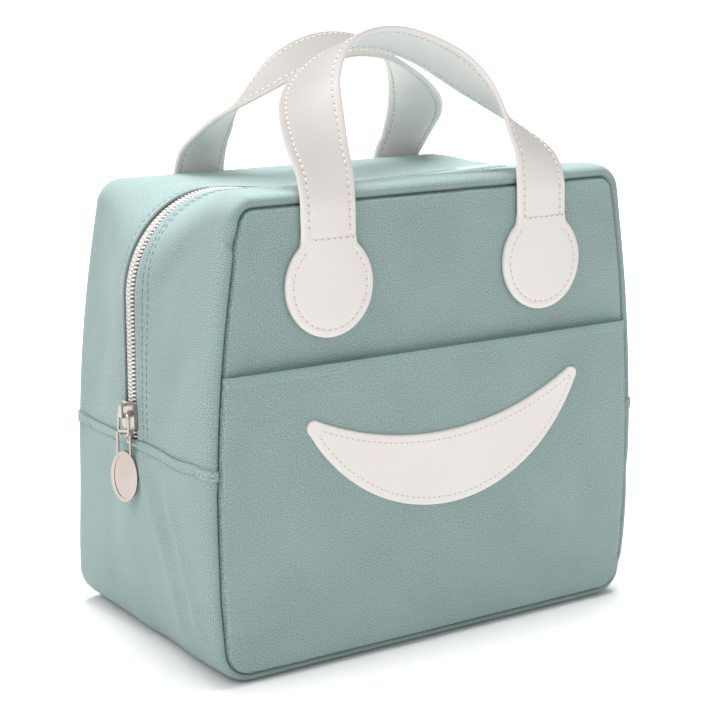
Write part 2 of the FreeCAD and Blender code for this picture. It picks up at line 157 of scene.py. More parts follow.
class PanelCut:
    """Outline of a panel: level foot and top, sides that narrow both ways from the waist, round corners."""

    def __init__(self, foot, top, half_width, foot_loss, top_loss, foot_radius, top_radius, shifts):
        self.foot, self.top, self.half_width = foot, top, half_width
        self.foot_loss, self.top_loss, self.shifts = foot_loss, top_loss, shifts
        self.foot_arc = self.corner(foot + foot_radius, foot_radius)
        self.top_arc = self.corner(top - top_radius, top_radius)

    def shift(self, z):
        """How far the panel stands to the right at a height."""
        return mix(*self.shifts, z / self.top)

    def side(self, z):
        """Half width at a height, without the corners."""
        end, loss = (self.foot, self.foot_loss) if z < WAIST else (self.top, self.top_loss)
        return self.half_width - loss * ((z - WAIST) / (end - WAIST)) ** 2

    def corner(self, z, radius):
        """A corner's arc: centre x, centre z, radius, and its angle where it meets the side."""
        angle = 0.0
        for _ in range(4):
            meets = z + radius * sin(angle)
            angle = -atan2(self.side(meets + 0.1) - self.side(meets - 0.1), 0.2)
        return self.side(meets) - radius * cos(angle), z, radius, angle

    def seam(self, side, part, share):
        """The seam (x, z) on a side of the bag, from the foot's middle to the top's; x counts outwards."""
        x, z, radius, meets = self.foot_arc if part in (FOOT, FOOT_CORNER) else self.top_arc
        if part == FOOT:
            point = Vector((x * share, self.foot))
        elif part == FOOT_CORNER:
            point = polar(x, z, radius, mix(-pi / 2, meets, share))
        elif part == SIDE:
            low, high = (polar(*arc).y for arc in (self.foot_arc, self.top_arc))
            height = mix(low, high, share)
            point = Vector((self.side(height), height))
        elif part == TOP_CORNER:
            point = polar(x, z, radius, mix(meets, pi / 2, share))
        else:
            point = Vector((x * (1 - share), self.top))
        return point + Vector((side * self.shift(point.y), 0.0))

    def row(self, z):
        """Half width at a height, with the corners rounded."""
        for arc, up in ((self.foot_arc, -1), (self.top_arc, 1)):
            rise = (z - arc[1]) * up
            if (z - polar(*arc).y) * up > 0:
                return arc[0] + sqrt(max(arc[2] ** 2 - rise * rise, 0.0))
        return self.side(z)

    def gap(self, x, z):
        """Distance from a point of the panel to its seam, near enough."""
        x = abs(x - self.shift(z))
        gap = min(self.side(z) - x, z - self.foot, self.top - z)
        for arc, up in ((self.foot_arc, -1), (self.top_arc, 1)):
            aside, rise = x - arc[0], (z - arc[1]) * up
            if aside > 0 and rise > 0:
                gap = min(gap, arc[2] - hypot(aside, rise))
        return max(gap, 0.0)


# The bag stands a little askew, and its back is drawn in, as a soft bag's is
CUTS = {
    FRONT: PanelCut(foot=4.2, top=204.2, half_width=114.7, foot_loss=4.0, top_loss=12.5,
                    foot_radius=12.0, top_radius=7.0, shifts=(-3.0, 1.5)),
    BACK: PanelCut(foot=4.5, top=198.8, half_width=109.2, foot_loss=-2.0, top_loss=12.0,
                   foot_radius=12.0, top_radius=8.0, shifts=(4.0, 4.0)),
}


def on_arc(arc, share):
    x, z, radius, first, last = arc
    return polar(x, z, radius, radians(mix(first, last, share)))


def zip_line(side, part, share):
    """One side of the gusset's middle line (x, z), by stations beside the front seam; x counts outwards."""
    top_arc = ZIP_TOP_ARCS[side]
    if part == FOOT:
        return Vector((ZIP_FOOT_ARC[0] * share, 0.0))
    if part == FOOT_CORNER:
        return on_arc(ZIP_FOOT_ARC, share)
    if part == SIDE:
        seam_low, beside, seam_high = (CUTS[FRONT].seam(1, SIDE, s).y for s in (0.0, share, 1.0))
        low, high = on_arc(ZIP_FOOT_ARC, 1).y, top_arc[1]
        z = beside
        if beside < LEVEL_FROM:
            z = mix(low, LEVEL_FROM, (beside - seam_low) / (LEVEL_FROM - seam_low))
        elif beside > LEVEL_TO:
            z = mix(LEVEL_TO, high, (beside - LEVEL_TO) / (seam_high - LEVEL_TO))
        drop = max(0.0, SIDE_UPRIGHT_FROM - z)
        return Vector((SIDE_HALF_WIDTH - drop * drop / (2 * SIDE_BULGE_RADIUS), z))
    if part == TOP_CORNER:
        return on_arc(top_arc, share)
    return Vector((top_arc[0] * (1 - share), top_arc[1] + top_arc[2]))


def outward(line, share):
    """Direction (x, z) square to a line, away from the bag's middle."""
    step = 0.02
    along = (line(min(1.0, share + step)) - line(max(0.0, share - step))).normalized()
    return Vector((along.y, -along.x))


@lru_cache(maxsize=None)
def rims(y_side, side, part, share):
    """At a station: the panel's seam and the zip's line (x, z), each with its outward direction."""
    seam = partial(CUTS[y_side].seam, side, part)
    middle = partial(zip_line, side, part)
    return seam(share), outward(seam, share), middle(share), outward(middle, share)


def station(u, runs):
    """Where share u of a strip lies: side of the bag, part of the outline, share of that part."""
    side = -1 if u < 0.5 else 1
    away = abs(2 * u - 1)
    for part, low, high, first, last in runs:
        if away <= high + 1e-9:
            return side, part, mix(first, last, (away - low) / (high - low))


# Soft folds in the side walls: (y, z) from and to, width and height in mm, side
CREASES = (
    (-32, 82, -60, 16, 4.5, 1.7, -1),
    (-6, 91, -43, 12, 5.0, 1.3, -1),
    (-20, 84, -50, 24, 7.0, -1.1, -1),
    (22, 86, 34, 18, 9.0, -1.0, -1),
    (-46, 150, -28, 104, 8.0, -0.9, -1),
    (30, 150, 50, 100, 9.0, -0.8, -1),
    (-30, 86, -54, 22, 5.0, 1.3, 1),
    (12, 84, 38, 20, 6.0, 1.2, 1),
    (-6, 86, -30, 26, 8.0, -1.0, 1),
    (-20, 150, -46, 104, 8.0, -0.8, 1),
    (34, 140, 20, 100, 8.0, 0.8, 1),
)
# Dents across the roll: side of the bag (front or back), place of the seam (x, z), width, depth
ROLL_DENTS = (
    (FRONT, 87.0, 200.0, 2.6, 1.5), (FRONT, 96.0, 199.5, 2.4, 1.7), (FRONT, -104.5, 190.0, 3.6, 2.0),
    (FRONT, -60.0, 200.0, 6.0, 0.7), (FRONT, 20.0, 200.0, 8.0, 0.6), (FRONT, 108.0, 14.0, 3.0, 1.2),
    (FRONT, -106.0, 9.0, 3.0, 1.4), (FRONT, -112.0, 40.0, 6.0, 0.8), (FRONT, 113.0, 60.0, 7.0, 0.7),
    (BACK, 60.0, 191.0, 4.0, 0.9), (BACK, -50.0, 191.0, 5.0, 0.8), (BACK, -80.0, 14.0, 4.0, 1.0),
)
# Small gathers that the seam draws into a panel's corners: x, z, direction in degrees, length, width, depth
PUCKERS = (
    (103.0, 9.0, 80, 8.0, 2.2, 0.8), (109.0, 20.0, 20, 9.0, 2.4, 0.9), (106.0, 37.0, 0, 9.0, 3.0, 0.6),
    (-103.0, 10.0, 110, 8.0, 2.2, 0.8), (-108.0, 21.0, 160, 9.0, 2.4, 0.8),
    (-109.0, 36.0, 175, 8.0, 3.0, 0.5), (-92.0, 10.0, 85, 7.0, 3.0, 0.4), (90.0, 10.0, 95, 7.0, 3.0, 0.4),
)


def off_line(y, z, y0, z0, y1, z1):
    """Distance of (y, z) from a line, and how much of the line's middle is beside it."""
    dy, dz = y1 - y0, z1 - z0
    length = hypot(dy, dz)
    along = ((y - y0) * dy + (z - z0) * dz) / length ** 2
    aside = abs((y - y0) * dz - (z - z0) * dy) / length
    return aside, ease(min(along, 1 - along) * 5 + 0.25)


def side_folds(side, y, z):
    """How far the folds and unevenness of a side wall stand out, in mm."""
    rise = 0.7 * rough((side * 40, y, z), 34, 1.7) + 0.3 * rough((side * 40, y, z), 13, 4.2)
    for y0, z0, y1, z1, width, height, where in CREASES:
        if where == side:
            aside, share = off_line(y, z, y0, z0, y1, z1)
            rise += height * hump(aside, width) * share
    calm = ease((z - SIDE_SEAM + 4) / 8) * (1 - ease(abs(y) / 14))     # the zip runs straight
    return rise * (1 - calm)


def top_folds(x, y, z):
    """The same for the top, which sags along the zip and swells in front of it."""
    middle = max(0.0, 1 - (x / 84) ** 2)
    sag = -3.0 * middle * middle * hump(y, 24) + 0.6 * middle * hump(y + 22, 10)
    return sag + 0.8 * rough((x, y, z), 24, 6.0) * ease(abs(y) / 12)


def roll_dent(y_side, x, z):
    return sum(depth * hump(hypot(x - dent_x, z - dent_z), width)
               for where, dent_x, dent_z, width, depth in ROLL_DENTS if where == y_side)


def pucker(x, z):
    """How far the gathers sink a panel at a point."""
    sunk = 0.0
    for at_x, at_z, turn, length, width, depth in PUCKERS:
        dx, dz = x - at_x, z - at_z
        c, s = cos(radians(turn)), sin(radians(turn))
        sunk += depth * hump(dx * c + dz * s, length) * hump(dz * c - dx * s, width)
    return sunk


def gusset_section(start, share, rim):
    """Across half the gusset, from behind the roll to the rim: distance from the middle plane, and how far
    the outline has gone over from the panel's edge to the zip's line."""
    y = mix(start, rim, share)
    return y, ease(1 - y / start)


def roll_size(z):
    """The roll is slim under the foot and full along the top."""
    return 0.75 + 0.25 * ease((z - 6) / 30) + 0.1 * ease((z - 180) / 22)


def roll_section(y_side, side, seam, k):
    """Station k across the roll beside a panel: out from the seam, distance from the middle plane."""
    out, back = ROLL[k]
    back += roll_dent(y_side, side * seam.x, seam.y) * ease(k / 3)
    return out * roll_size(seam.y), face_depth(seam.y) - back


def roll_end(y_side, at):
    """Where the roll has turned into the gusset: out from the seam, distance from the middle plane."""
    return roll_section(y_side, at[0], rims(y_side, *at)[0], ROLL_END)


def gusset_point(y_side, at, out, y, reach, lift=0.0):
    """A point of the gusset's outer face at a station: out from the seam, y from the middle plane, reach as
    in gusset_section, lift outwards."""
    side, part, share = at
    seam, seam_out, middle, middle_out = rims(y_side, side, part, share)
    flat = (seam + seam_out * out).lerp(middle, reach)
    direction = seam_out.lerp(middle_out, reach).normalized()
    x, z = side * flat.x, flat.y
    folds = mix(side_folds(side, y_side * y, z), top_folds(x, y_side * y, z), top_share(z))
    flat += direction * (lift + folds * ease((face_depth(seam.y) - y) / 12))
    return Vector((side * flat.x, y_side * y, max(flat.y, 0.0)))


def front_surface(x, z):
    """How far the front panel's outer face stands in front of the middle plane."""
    depth = face_depth(z) + 0.35 * rough((x, 0, z), 40, 3.0) - 0.3
    if z > POCKET_TOP - 8:
        depth -= 1.2 * hump(z - POCKET_TOP - 3, 9) * ease((116 - abs(x)) / 16)
    return depth


def pocket_surface(x, z):
    """How far the slip pocket's outer face stands in front of the middle plane."""
    crown = 1.6 * (1 - (x / 118) ** 2) * hump(z - 66, 55)
    lip = 0.7 * hump(z - POCKET_TOP, 7)
    return face_depth(z) + 1.1 + crown + lip + 0.3 * rough((x, 9, z), 30, 5.0)


def back_surface(x, z):
    """How far the back panel's outer face stands behind the middle plane."""
    crown = 1.4 * (1 - (x / 118) ** 2) * hump(z - 80, 55)
    return face_depth(z) - 0.2 + crown + 0.4 * rough((x, 50, z), 36, 8.0)


def grid(columns, rows, shape, flat):
    """A grid of cloth. shape gives a point in mm for shares (u, v), flat its place on the uncut cloth."""
    bm = bmesh.new()
    weave = bm.loops.layers.uv.new("weave")
    bmesh.ops.create_grid(bm, x_segments=columns, y_segments=rows, size=0.5)
    shares = {vert: (vert.co.x + 0.5, vert.co.y + 0.5) for vert in bm.verts}
    for face in bm.faces:
        for loop in face.loops:
            loop[weave].uv = Vector(flat(*shares[loop.vert])) * MM
    for vert, share in shares.items():
        vert.co = shape(*share) * MM
    return bm


def turn_outwards(bm):
    """Faces of an open sheet point away from the bag's middle."""
    bm.normal_update()
    if sum(f.normal.dot(f.calc_center_median() - BAG_MIDDLE) * f.calc_area() for f in bm.faces) < 0:
        bmesh.ops.reverse_faces(bm, faces=bm.faces[:])


def add_object(name, data):
    obj = bpy.data.objects.new(name, data)
    scene.collection.objects.link(obj)
    return obj


def mesh_object(name, bm, *materials):
    """The bmesh as a smooth-shaded object of that name."""
    mesh = bpy.data.meshes.new(name)
    bm.to_mesh(mesh)
    bm.free()
    for material in materials:
        mesh.materials.append(material)
    mesh.shade_smooth()
    return add_object(name, mesh)


def piece(name, bm, slot, *materials):
    """The bmesh as a piece of the bag. Its slot is not used."""
    obj = mesh_object(name, bm, *materials)
    return obj


def thicken(obj, thickness, offset=-1.0):
    wall = obj.modifiers.new("cloth", "SOLIDIFY")
    wall.thickness = thickness * MM
    wall.offset = offset
    return wall


def close_up(bm, distance):
    """Joins a rolled-up grid along its edges, within a distance in mm, and closes its ends."""
    bmesh.ops.remove_doubles(bm, verts=bm.verts[:], dist=distance * MM)
    bmesh.ops.holes_fill(bm, edges=[e for e in bm.edges if e.is_boundary], sides=0)
    bmesh.ops.recalc_face_normals(bm, faces=bm.faces[:])


def bend_with_mouth(obj):
    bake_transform(obj)


def walk(path, pitch):
    """Points, directions and normals at every pitch along path, a list of (point, normal)."""
    spots = []
    gone, due = 0.0, pitch / 2
    for (a, a_out), (b, b_out) in zip(path, path[1:]):
        length = (b - a).length
        while length and due <= gone + length:
            share = (due - gone) / length
            spots.append((a.lerp(b, share), (b - a) / length, a_out.lerp(b_out, share).normalized()))
            due += pitch
        gone += length
    return spots


@lru_cache(maxsize=None)
def bead_shape(around, rings, material):
    """A mesh of a round bead of radius 1 in one of its piece's materials, and its points."""
    bm = bmesh.new()
    bmesh.ops.create_uvsphere(bm, u_segments=around, v_segments=rings, radius=1.0)
    for face in bm.faces:
        face.material_index = material
    mesh = bpy.data.meshes.new("bead")
    bm.to_mesh(mesh)
    bm.free()
    return mesh, [value for vert in mesh.vertices for value in vert.co]


def bead(bm, spot, along, out, sizes, segments=(6, 5), material=0):
    """Adds a small rounded bead with half sizes along its direction, across and outwards."""
    across = out.cross(along).normalized()
    turn = Matrix((along, across, along.cross(across))).transposed().to_4x4()
    mesh, points = bead_shape(*segments, material)
    mesh.vertices.foreach_set("co", points)
    size = Matrix.Scale(MM, 4) @ Matrix.Diagonal((*sizes, 1.0))
    mesh.transform(Matrix.Translation(spot * MM) @ turn @ size)
    bm.from_mesh(mesh)


def linear(hex_colour):
    """An sRGB hex colour as linear RGBA."""
    parts = [int(hex_colour[i:i + 2], 16) / 255 for i in (1, 3, 5)]
    return [c / 12.92 if c <= 0.04045 else ((c + 0.055) / 1.055) ** 2.4 for c in parts] + [1.0]


def connect(node, inputs):
    """Sets a node's inputs. Each is a value, a socket, or a node that stands for its first output."""
    for key, value in inputs.items():
        if isinstance(value, bpy.types.Node):
            value = value.outputs[0]
        if isinstance(value, bpy.types.NodeSocket):
            node.id_data.links.new(value, node.inputs[key])
        else:
            node.inputs[key].default_value = value


def add(tree, kind, inputs=None, **settings):
    """Adds a node with its settings and links."""
    node = tree.nodes.new("ShaderNode" + kind)
    for name, value in settings.items():
        setattr(node, name, value)
    connect(node, inputs or {})
    return node


def new_material(name, inputs):
    """A material with one Principled shader, its node tree and the shader."""
    material = bpy.data.materials.new(name)
    material.use_nodes = True
    shader = material.node_tree.nodes["Principled BSDF"]
    connect(shader, inputs)
    return material, material.node_tree, shader


THREAD_PITCH = 0.95  # real canvas has about two threads a mm; drawn this coarse so that it shows
WAVE_PERIOD = pi / 10  # of the Wave texture at scale 1


def canvas(name, light, dark):
    """Plain-woven polyester canvas: matt, with slubby threads that run over and under each other."""
    material, tree, shader = new_material(
        name, {"Roughness": 0.9, "Sheen Weight": 0.12, "Sheen Roughness": 0.5})
    pitch = THREAD_PITCH * MM
    flat = add(tree, "UVMap", uv_map="weave")
    over = add(tree, "TexChecker", {"Vector": flat, "Scale": 1 / pitch}).outputs["Fac"]
    warp, weft = (add(tree, "TexWave", {"Vector": flat, "Scale": WAVE_PERIOD / pitch}, bands_direction=way)
                  for way in ("X", "Y"))
    height = add(tree, "Mix", {0: over, 2: weft.outputs["Fac"], 3: warp.outputs["Fac"]})
    slub = add(tree, "TexNoise", {"Vector": flat, "Scale": 2.0 / MM, "Detail": 1.0, "Roughness": 0.8})
    wash = add(tree, "TexNoise", {"Vector": flat, "Scale": 0.03 / MM, "Detail": 2.0})
    tone = add(tree, "Math", {0: height, 1: 0.12, 2: slub}, operation="MULTIPLY_ADD")
    tone = add(tree, "Math", {0: wash, 1: 0.1, 2: tone}, operation="MULTIPLY_ADD")
    shade = add(tree, "MapRange", {0: tone, 1: 0.44, 2: 0.78})
    colour = add(tree, "Mix", {0: shade, 6: linear(dark), 7: linear(light)}, data_type="RGBA")
    relief = add(tree, "Math", {0: slub, 1: 0.5, 2: height}, operation="MULTIPLY_ADD")
    bump = add(tree, "Bump", {"Height": relief, "Strength": 0.5, "Distance": 0.16 * MM})
    connect(shader, {"Base Color": colour.outputs[2], "Normal": bump})
    return material


def leather(name, light, dark):
    """Coated leather: smooth and slightly glossy, with a fine pebble grain."""
    material, tree, shader = new_material(name, {"Coat Weight": 0.06, "Coat Roughness": 0.35})
    place = add(tree, "TexCoord").outputs["Object"]
    pebble = add(tree, "TexVoronoi", {"Vector": place, "Scale": 0.9 / MM}, feature="SMOOTH_F1")
    fine = add(tree, "TexNoise", {"Vector": place, "Scale": 1.6 / MM, "Detail": 3.0})
    cloud = add(tree, "TexNoise", {"Vector": place, "Scale": 0.02 / MM, "Detail": 3.0})
    shade = add(tree, "MapRange", {0: cloud, 1: 0.3, 2: 0.7})
    colour = add(tree, "Mix", {0: shade, 6: linear(dark), 7: linear(light)}, data_type="RGBA")
    gloss = add(tree, "MapRange", {0: fine, 1: 0.3, 2: 0.7, 3: 0.4, 4: 0.55})
    relief = add(tree, "Math", {0: fine, 1: 0.4, 2: pebble}, operation="MULTIPLY_ADD")
    bump = add(tree, "Bump", {"Height": relief, "Strength": 0.25, "Distance": 0.12 * MM})
    connect(shader, {"Base Color": colour.outputs[2], "Roughness": gloss, "Normal": bump})
    return material


def spun_thread(name, light, dark):
    """Twisted sewing thread: satin, with a ply that shows as fine bands."""
    material, tree, shader = new_material(name, {"Roughness": 0.6, "Sheen Weight": 0.2})
    place = add(tree, "TexCoord").outputs["Object"]
    ply = add(tree, "TexWave", {"Vector": place, "Scale": WAVE_PERIOD / (0.5 * MM)},
              bands_direction="DIAGONAL").outputs["Fac"]
    colour = add(tree, "Mix", {0: ply, 6: linear(dark), 7: linear(light)}, data_type="RGBA")
    connect(shader, {"Base Color": colour.outputs[2]})
    return material


def nickel(name, light, dark):
    """Polished nickel plate: bright and warm, with faint handling marks."""
    material, tree, shader = new_material(name, {"Metallic": 1.0})
    place = add(tree, "TexCoord").outputs["Object"]
    marks = add(tree, "TexNoise", {"Vector": place, "Scale": 0.07 / MM, "Detail": 1.0})
    colour = add(tree, "Mix", {0: marks, 6: linear(dark), 7: linear(light)}, data_type="RGBA")
    gloss = add(tree, "MapRange", {0: marks, 1: 0.3, 2: 0.7, 3: 0.16, 4: 0.3})
    connect(shader, {"Base Color": colour.outputs[2], "Roughness": gloss})
    return material


def film(name, light, dark):
    """Silvered film on foam: a crinkled, half-bright metal skin."""
    material, tree, shader = new_material(name, {"Metallic": 0.75})
    place = add(tree, "TexCoord").outputs["Object"]
    crinkle = add(tree, "TexVoronoi", {"Vector": place, "Scale": 0.07 / MM}, feature="DISTANCE_TO_EDGE")
    ripple = add(tree, "TexNoise", {"Vector": place, "Scale": 0.12 / MM, "Detail": 4.0})
    colour = add(tree, "Mix", {0: ripple, 6: linear(dark), 7: linear(light)}, data_type="RGBA")
    gloss = add(tree, "MapRange", {0: ripple, 3: 0.25, 4: 0.5})
    relief = add(tree, "Math", {0: crinkle, 1: 0.6, 2: ripple}, operation="MULTIPLY_ADD")
    bump = add(tree, "Bump", {"Height": relief, "Strength": 0.5, "Distance": 1.2 * MM})
    connect(shader, {"Base Color": colour.outputs[2], "Roughness": gloss, "Normal": bump})
    return material


def coil(name, light, dark):
    """Nylon zip coil with a silver lacquer: pale, glossy on the crowns and darker between them."""
    material, tree, shader = new_material(name, {"Metallic": 0.35, "Roughness": 0.3})
    place = add(tree, "TexCoord").outputs["Object"]
    worn = add(tree, "TexNoise", {"Vector": place, "Scale": 0.4 / MM, "Detail": 2.0})
    colour = add(tree, "Mix", {0: worn, 6: linear(dark), 7: linear(light)}, data_type="RGBA")
    connect(shader, {"Base Color": colour.outputs[2]})
    return material


canvas_sage = canvas("sage_canvas", "#A8BDBB", "#6C8381")
tape_white = canvas("white_zip_tape", "#E6E4E1", "#C2BDB8")
leather_white = leather("white_coated_leather", "#EFEAE6", "#EAE4E0")
thread_white = spun_thread("white_thread", "#F1EEEA", "#D5CFC8")
thread_sage = spun_thread("sage_thread", "#7F9795", "#657D7B")
coil_silver = coil("silver_zip_coil", "#EFECE8", "#C9C2BC")
nickel_warm = nickel("warm_nickel", "#CDC4BD", "#9C928A")
film_silver = film("silver_lining_film", "#E3E5E6", "#B9BDBF")
# Needle holes are dark beads: their colour is painted shade, standing for a real hole's own shadow
needle_hole_painted_shade = spun_thread("needle_hole_shadow", "#B2A9A1", "#988F87")


NEEDLE_HOLE = (0.38, 0.38, 0.228)  # half sizes
THREADS = {"canvas": (thread_sage,), "leather": (thread_white, needle_hole_painted_shade)}


def sew(name, slot, paths, pitch=3.2, stitch=2.3, thread=0.32):
    """Rows of stitches along paths as one piece. In leather each stitch ends in a needle hole, a dark bead
    whose colour is painted shade.
    """
    bm = bmesh.new()
    for path in paths:
        for spot, along, out in walk(path, pitch):
            bead(bm, spot, along, out, (stitch / 2, thread, thread * 0.8))
            if slot == "leather":
                bead(bm, spot + along * pitch / 2, along, out, NEEDLE_HOLE, (6, 4), 1)
    return piece(name, bm, slot, *THREADS[slot])


def cloth(name, bm, slot="canvas", material=canvas_sage, thickness=CANVAS):
    """An open sheet as a piece with thickness under its outer face."""
    turn_outwards(bm)
    obj = piece(name, bm, slot, material)
    thicken(obj, thickness)
    return obj


def panel_edge(gap):
    """How far a panel lies back at a distance from its seam: its edge turns in beside a faint ridge."""
    away, width, height = EDGE_RIDGE
    return EDGE_DROP * hump(gap, EDGE_ROUND) - height * hump(gap - away, width)


def make_panel(name, y_side, surface):
    """A panel of canvas whose edge turns into the sunken seam."""
    cut = CUTS[y_side]

    def shape(u, v):
        z = mix(cut.foot, cut.top, crowded(v))
        x = cut.shift(z) + (2 * crowded(u) - 1) * cut.row(z)
        depth = surface(x, z) - panel_edge(cut.gap(x, z))
        if y_side == BACK:
            depth -= pucker((x - cut.shift(z)) * 1.05, z)
        return Vector((x, y_side * depth, z))

    return cloth(name, grid(110, 96, shape, lambda u, v: shape(u, v).xz))


TOPSTITCH = 4.4  # rows of stitches run this far from a hem
STITCH_LIFT = 0.1
CANVAS_STITCH = {"pitch": 3.4, "stitch": 2.4, "thread": 0.3}
OPEN_SLOT = {FRONT: 4.6, BACK: 5.9}  # half the gap in which the teeth show
CLOSED_SLOT = 0.5
HEM_RIDGE, HEM_GROOVE = 0.5, 0.4  # a hem stands up beside the zip and sinks under its stitches
HEM_CLOSES = {-1: 66.0, 1: 112.0}  # the hems begin to close over the teeth at this x, on each side
HEM_CLOSES_OVER = 18.0


def slot_width(y_side, at):
    """Half width of the gap in which the teeth show. On top the two hems close over them."""
    side, part, share = at
    closed = 0.0
    if part in (TOP_CORNER, TOP):
        closed = ease((HEM_CLOSES[side] - zip_line(side, part, share).x) / HEM_CLOSES_OVER)
    return mix(OPEN_SLOT[y_side], CLOSED_SLOT, closed)


def upper_point(y_side, at, y, reach, lift):
    """A point of an upper strip between its roll and the zip, with the ridge and groove of its hem."""
    rim = slot_width(y_side, at)
    lift += HEM_RIDGE * hump(y - rim - 1.0, 3.0) - HEM_GROOVE * hump(y - rim - TOPSTITCH, 1.2)
    return gusset_point(y_side, at, roll_end(y_side, at)[0], y, reach, lift)


def make_upper_strip(name, y_side):
    """A gusset strip from a side seam over the top to the other, folded under beside the zip."""
    columns, rows = 220, 46
    plain = rows - len(HEM)

    def shape(u, v):
        at = station(u, UPPER_RUNS)
        k = round(v * rows)
        if k <= ROLL_END:
            out, y = roll_section(y_side, at[0], rims(y_side, *at)[0], k)
            return gusset_point(y_side, at, out, y, 0.0)
        under, lift = HEM[rows - k] if k > plain else (0.0, 0.0)
        share = min(1.0, (k - ROLL_END) / (plain - ROLL_END))
        y, reach = gusset_section(roll_end(y_side, at)[1], share, slot_width(y_side, at))
        return upper_point(y_side, at, y + under, reach, lift)

    return cloth(name, grid(columns, rows, shape, lambda u, v: (450 * u, 86 * v)))


HEM_ROW = 0.978  # share of the lower gusset's run from its middle, where its hem is stitched


def lower_point(run, y_side, out, y, reach, lift):
    """A point of the lower gusset at a share of its run; its hemmed ends stand over the upper strips."""
    at = station(run, LOWER_RUNS)
    away = abs(2 * run - 1)
    end = ease((away - 0.8) / 0.2)
    inside = ease((roll_end(y_side, at)[1] + 2 - y) / 12)
    lift = inside * (lift - 0.5 * hump(away - HEM_ROW, 0.007)) + end * mix(0.25, 1.0, inside)
    point = gusset_point(y_side, at, out, y, reach, lift)
    wave = 0.8 * sin(point.y / 17)
    if at[0] < 0:
        wave = -1.0 * hump(point.y + 40, 12) - 1.2 * ease((point.y - 10) / 45)
    point.z += inside * end * wave
    return point


def make_lower_gusset():
    """The strip that makes the foot and the lower sides."""
    columns, rows = 200, 100
    half, ends = rows // 2, len(HEM)

    def shape(u, v):
        j, k = round(u * columns), round(v * rows)
        inset, lift = HEM[min(j, columns - j)] if min(j, columns - j) < ends else (0.0, 0.0)
        run = min(1.0, max(0.0, (j - ends) / (columns - 2 * ends)))
        y_side = FRONT if k <= half else BACK
        k = min(k, rows - k)
        at = station(run, LOWER_RUNS)
        out, y = roll_section(y_side, at[0], rims(y_side, *at)[0], min(k, ROLL_END))
        reach = 0.0
        if k > ROLL_END:
            y, reach = gusset_section(y, (k - ROLL_END) / (half - ROLL_END), 0.0)
        point = lower_point(run, y_side, out, y, reach, lift)
        point.z -= inset
        return point

    return cloth("lower_gusset_canvas", grid(columns, rows, shape, lambda u, v: (400 * u, 160 * v)))


def make_lining_half(name, y_side):
    """Half of the film lining with its foam, split along the middle of the bag."""
    around, rings = 160, 26
    bm = bmesh.new()
    bmesh.ops.create_uvsphere(bm, u_segments=around, v_segments=2 * rings, radius=1.0)
    bmesh.ops.delete(bm, geom=[v for v in bm.verts if v.co.z < -0.001], context="VERTS")
    thick = {}
    for vert in bm.verts:
        turn = (atan2(vert.co.x, -vert.co.y) / (2 * pi) + 0.5) % 1.0
        ring = acos(max(-1.0, min(1.0, vert.co.z))) / (pi / 2)
        at = station(turn, RING_RUNS)
        seam, seam_out, middle, middle_out = rims(y_side, *at)
        edge = seam - seam_out * LINING_EDGE
        rim = middle - middle_out * LINING_INSET
        y = face_depth(seam.y) - LINING_INSET
        slot = 0.05 + 5.0 * ease((rim.y - SIDE_SEAM) / 3)
        if ring < 0.5:
            flat = Vector((at[0] * CUTS[y_side].shift(WAIST), WAIST)).lerp(edge, ring * 2)
        else:
            y, reach = gusset_section(y, ring * 2 - 1, slot)
            flat = edge.lerp(rim, reach)
        vert.co = upright(at[0], flat, y_side * y) * MM
        beside_zip = y < 16 and flat.y > SIDE_SEAM - 8
        thick[vert.index] = 0.15 if beside_zip or abs(ring - 0.5) < 0.06 else 1.0
    turn_outwards(bm)
    obj = piece(name, bm, "lining", film_silver)
    foam = obj.vertex_groups.new(name="foam")
    for index, weight in thick.items():
        foam.add([index], weight, "REPLACE")
    thicken(obj, FOAM, 1.0).vertex_group = foam.name
    return obj


lower_gusset = make_lower_gusset()
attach(lower_gusset, "bag_base")
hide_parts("lower_gusset")
for side_name, y_side, surface, panel_size, shared_node in (
        ("front", FRONT, front_surface, (240, 212), "lower_lining"),
        ("back", BACK, back_surface, (232, 206), "lower_gusset_foam")):
    panel = make_panel(side_name + "_panel_canvas", y_side, surface)
    strip = make_upper_strip(side_name + "_gusset_canvas", y_side)
    lining = make_lining_half(side_name + "_lining_film", y_side)
    for soft in (panel, strip, lining):
        bend_with_mouth(soft)
    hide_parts(side_name + "_panel_lower", side_name + "_panel_upper")
    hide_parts(side_name + "_gusset_upper", side_name + "_gusset_ends")
    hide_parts(side_name + "_foam_lower", side_name + "_foam_upper",
                side_name + "_gusset_foam_upper", side_name + "_gusset_foam_ends",
                side_name + "_lining_upper", shared_node)


def hem_stitches(y_side, offset):
    """The line of a row of topstitches beside the zip, offset from the hem: (point, outward)."""
    path = []
    count, clear = 300, 4
    for i in range(clear, count + 1 - clear):
        at = station(i / count, UPPER_RUNS)
        out = rims(y_side, *at)[3]
        y = slot_width(y_side, at) + offset
        reach = ease(1 - y / roll_end(y_side, at)[1])
        path.append((upper_point(y_side, at, y, reach, STITCH_LIFT), upright(at[0], out)))
    return path


def side_stitches(run):
    """The same for the lower gusset's hem at a share of its run, from the front roll to the back one."""
    path = []
    count = 40
    at = station(run, LOWER_RUNS)
    for y_side, steps in ((FRONT, range(0, count)), (BACK, range(count, -1, -1))):
        out = rims(y_side, *at)[3]
        roll_out, start = roll_end(y_side, at)
        for i in steps:
            y, reach = gusset_section(start, i / count, 0.0)
            path.append((lower_point(run, y_side, roll_out, y, reach, STITCH_LIFT), upright(at[0], out)))
    return path


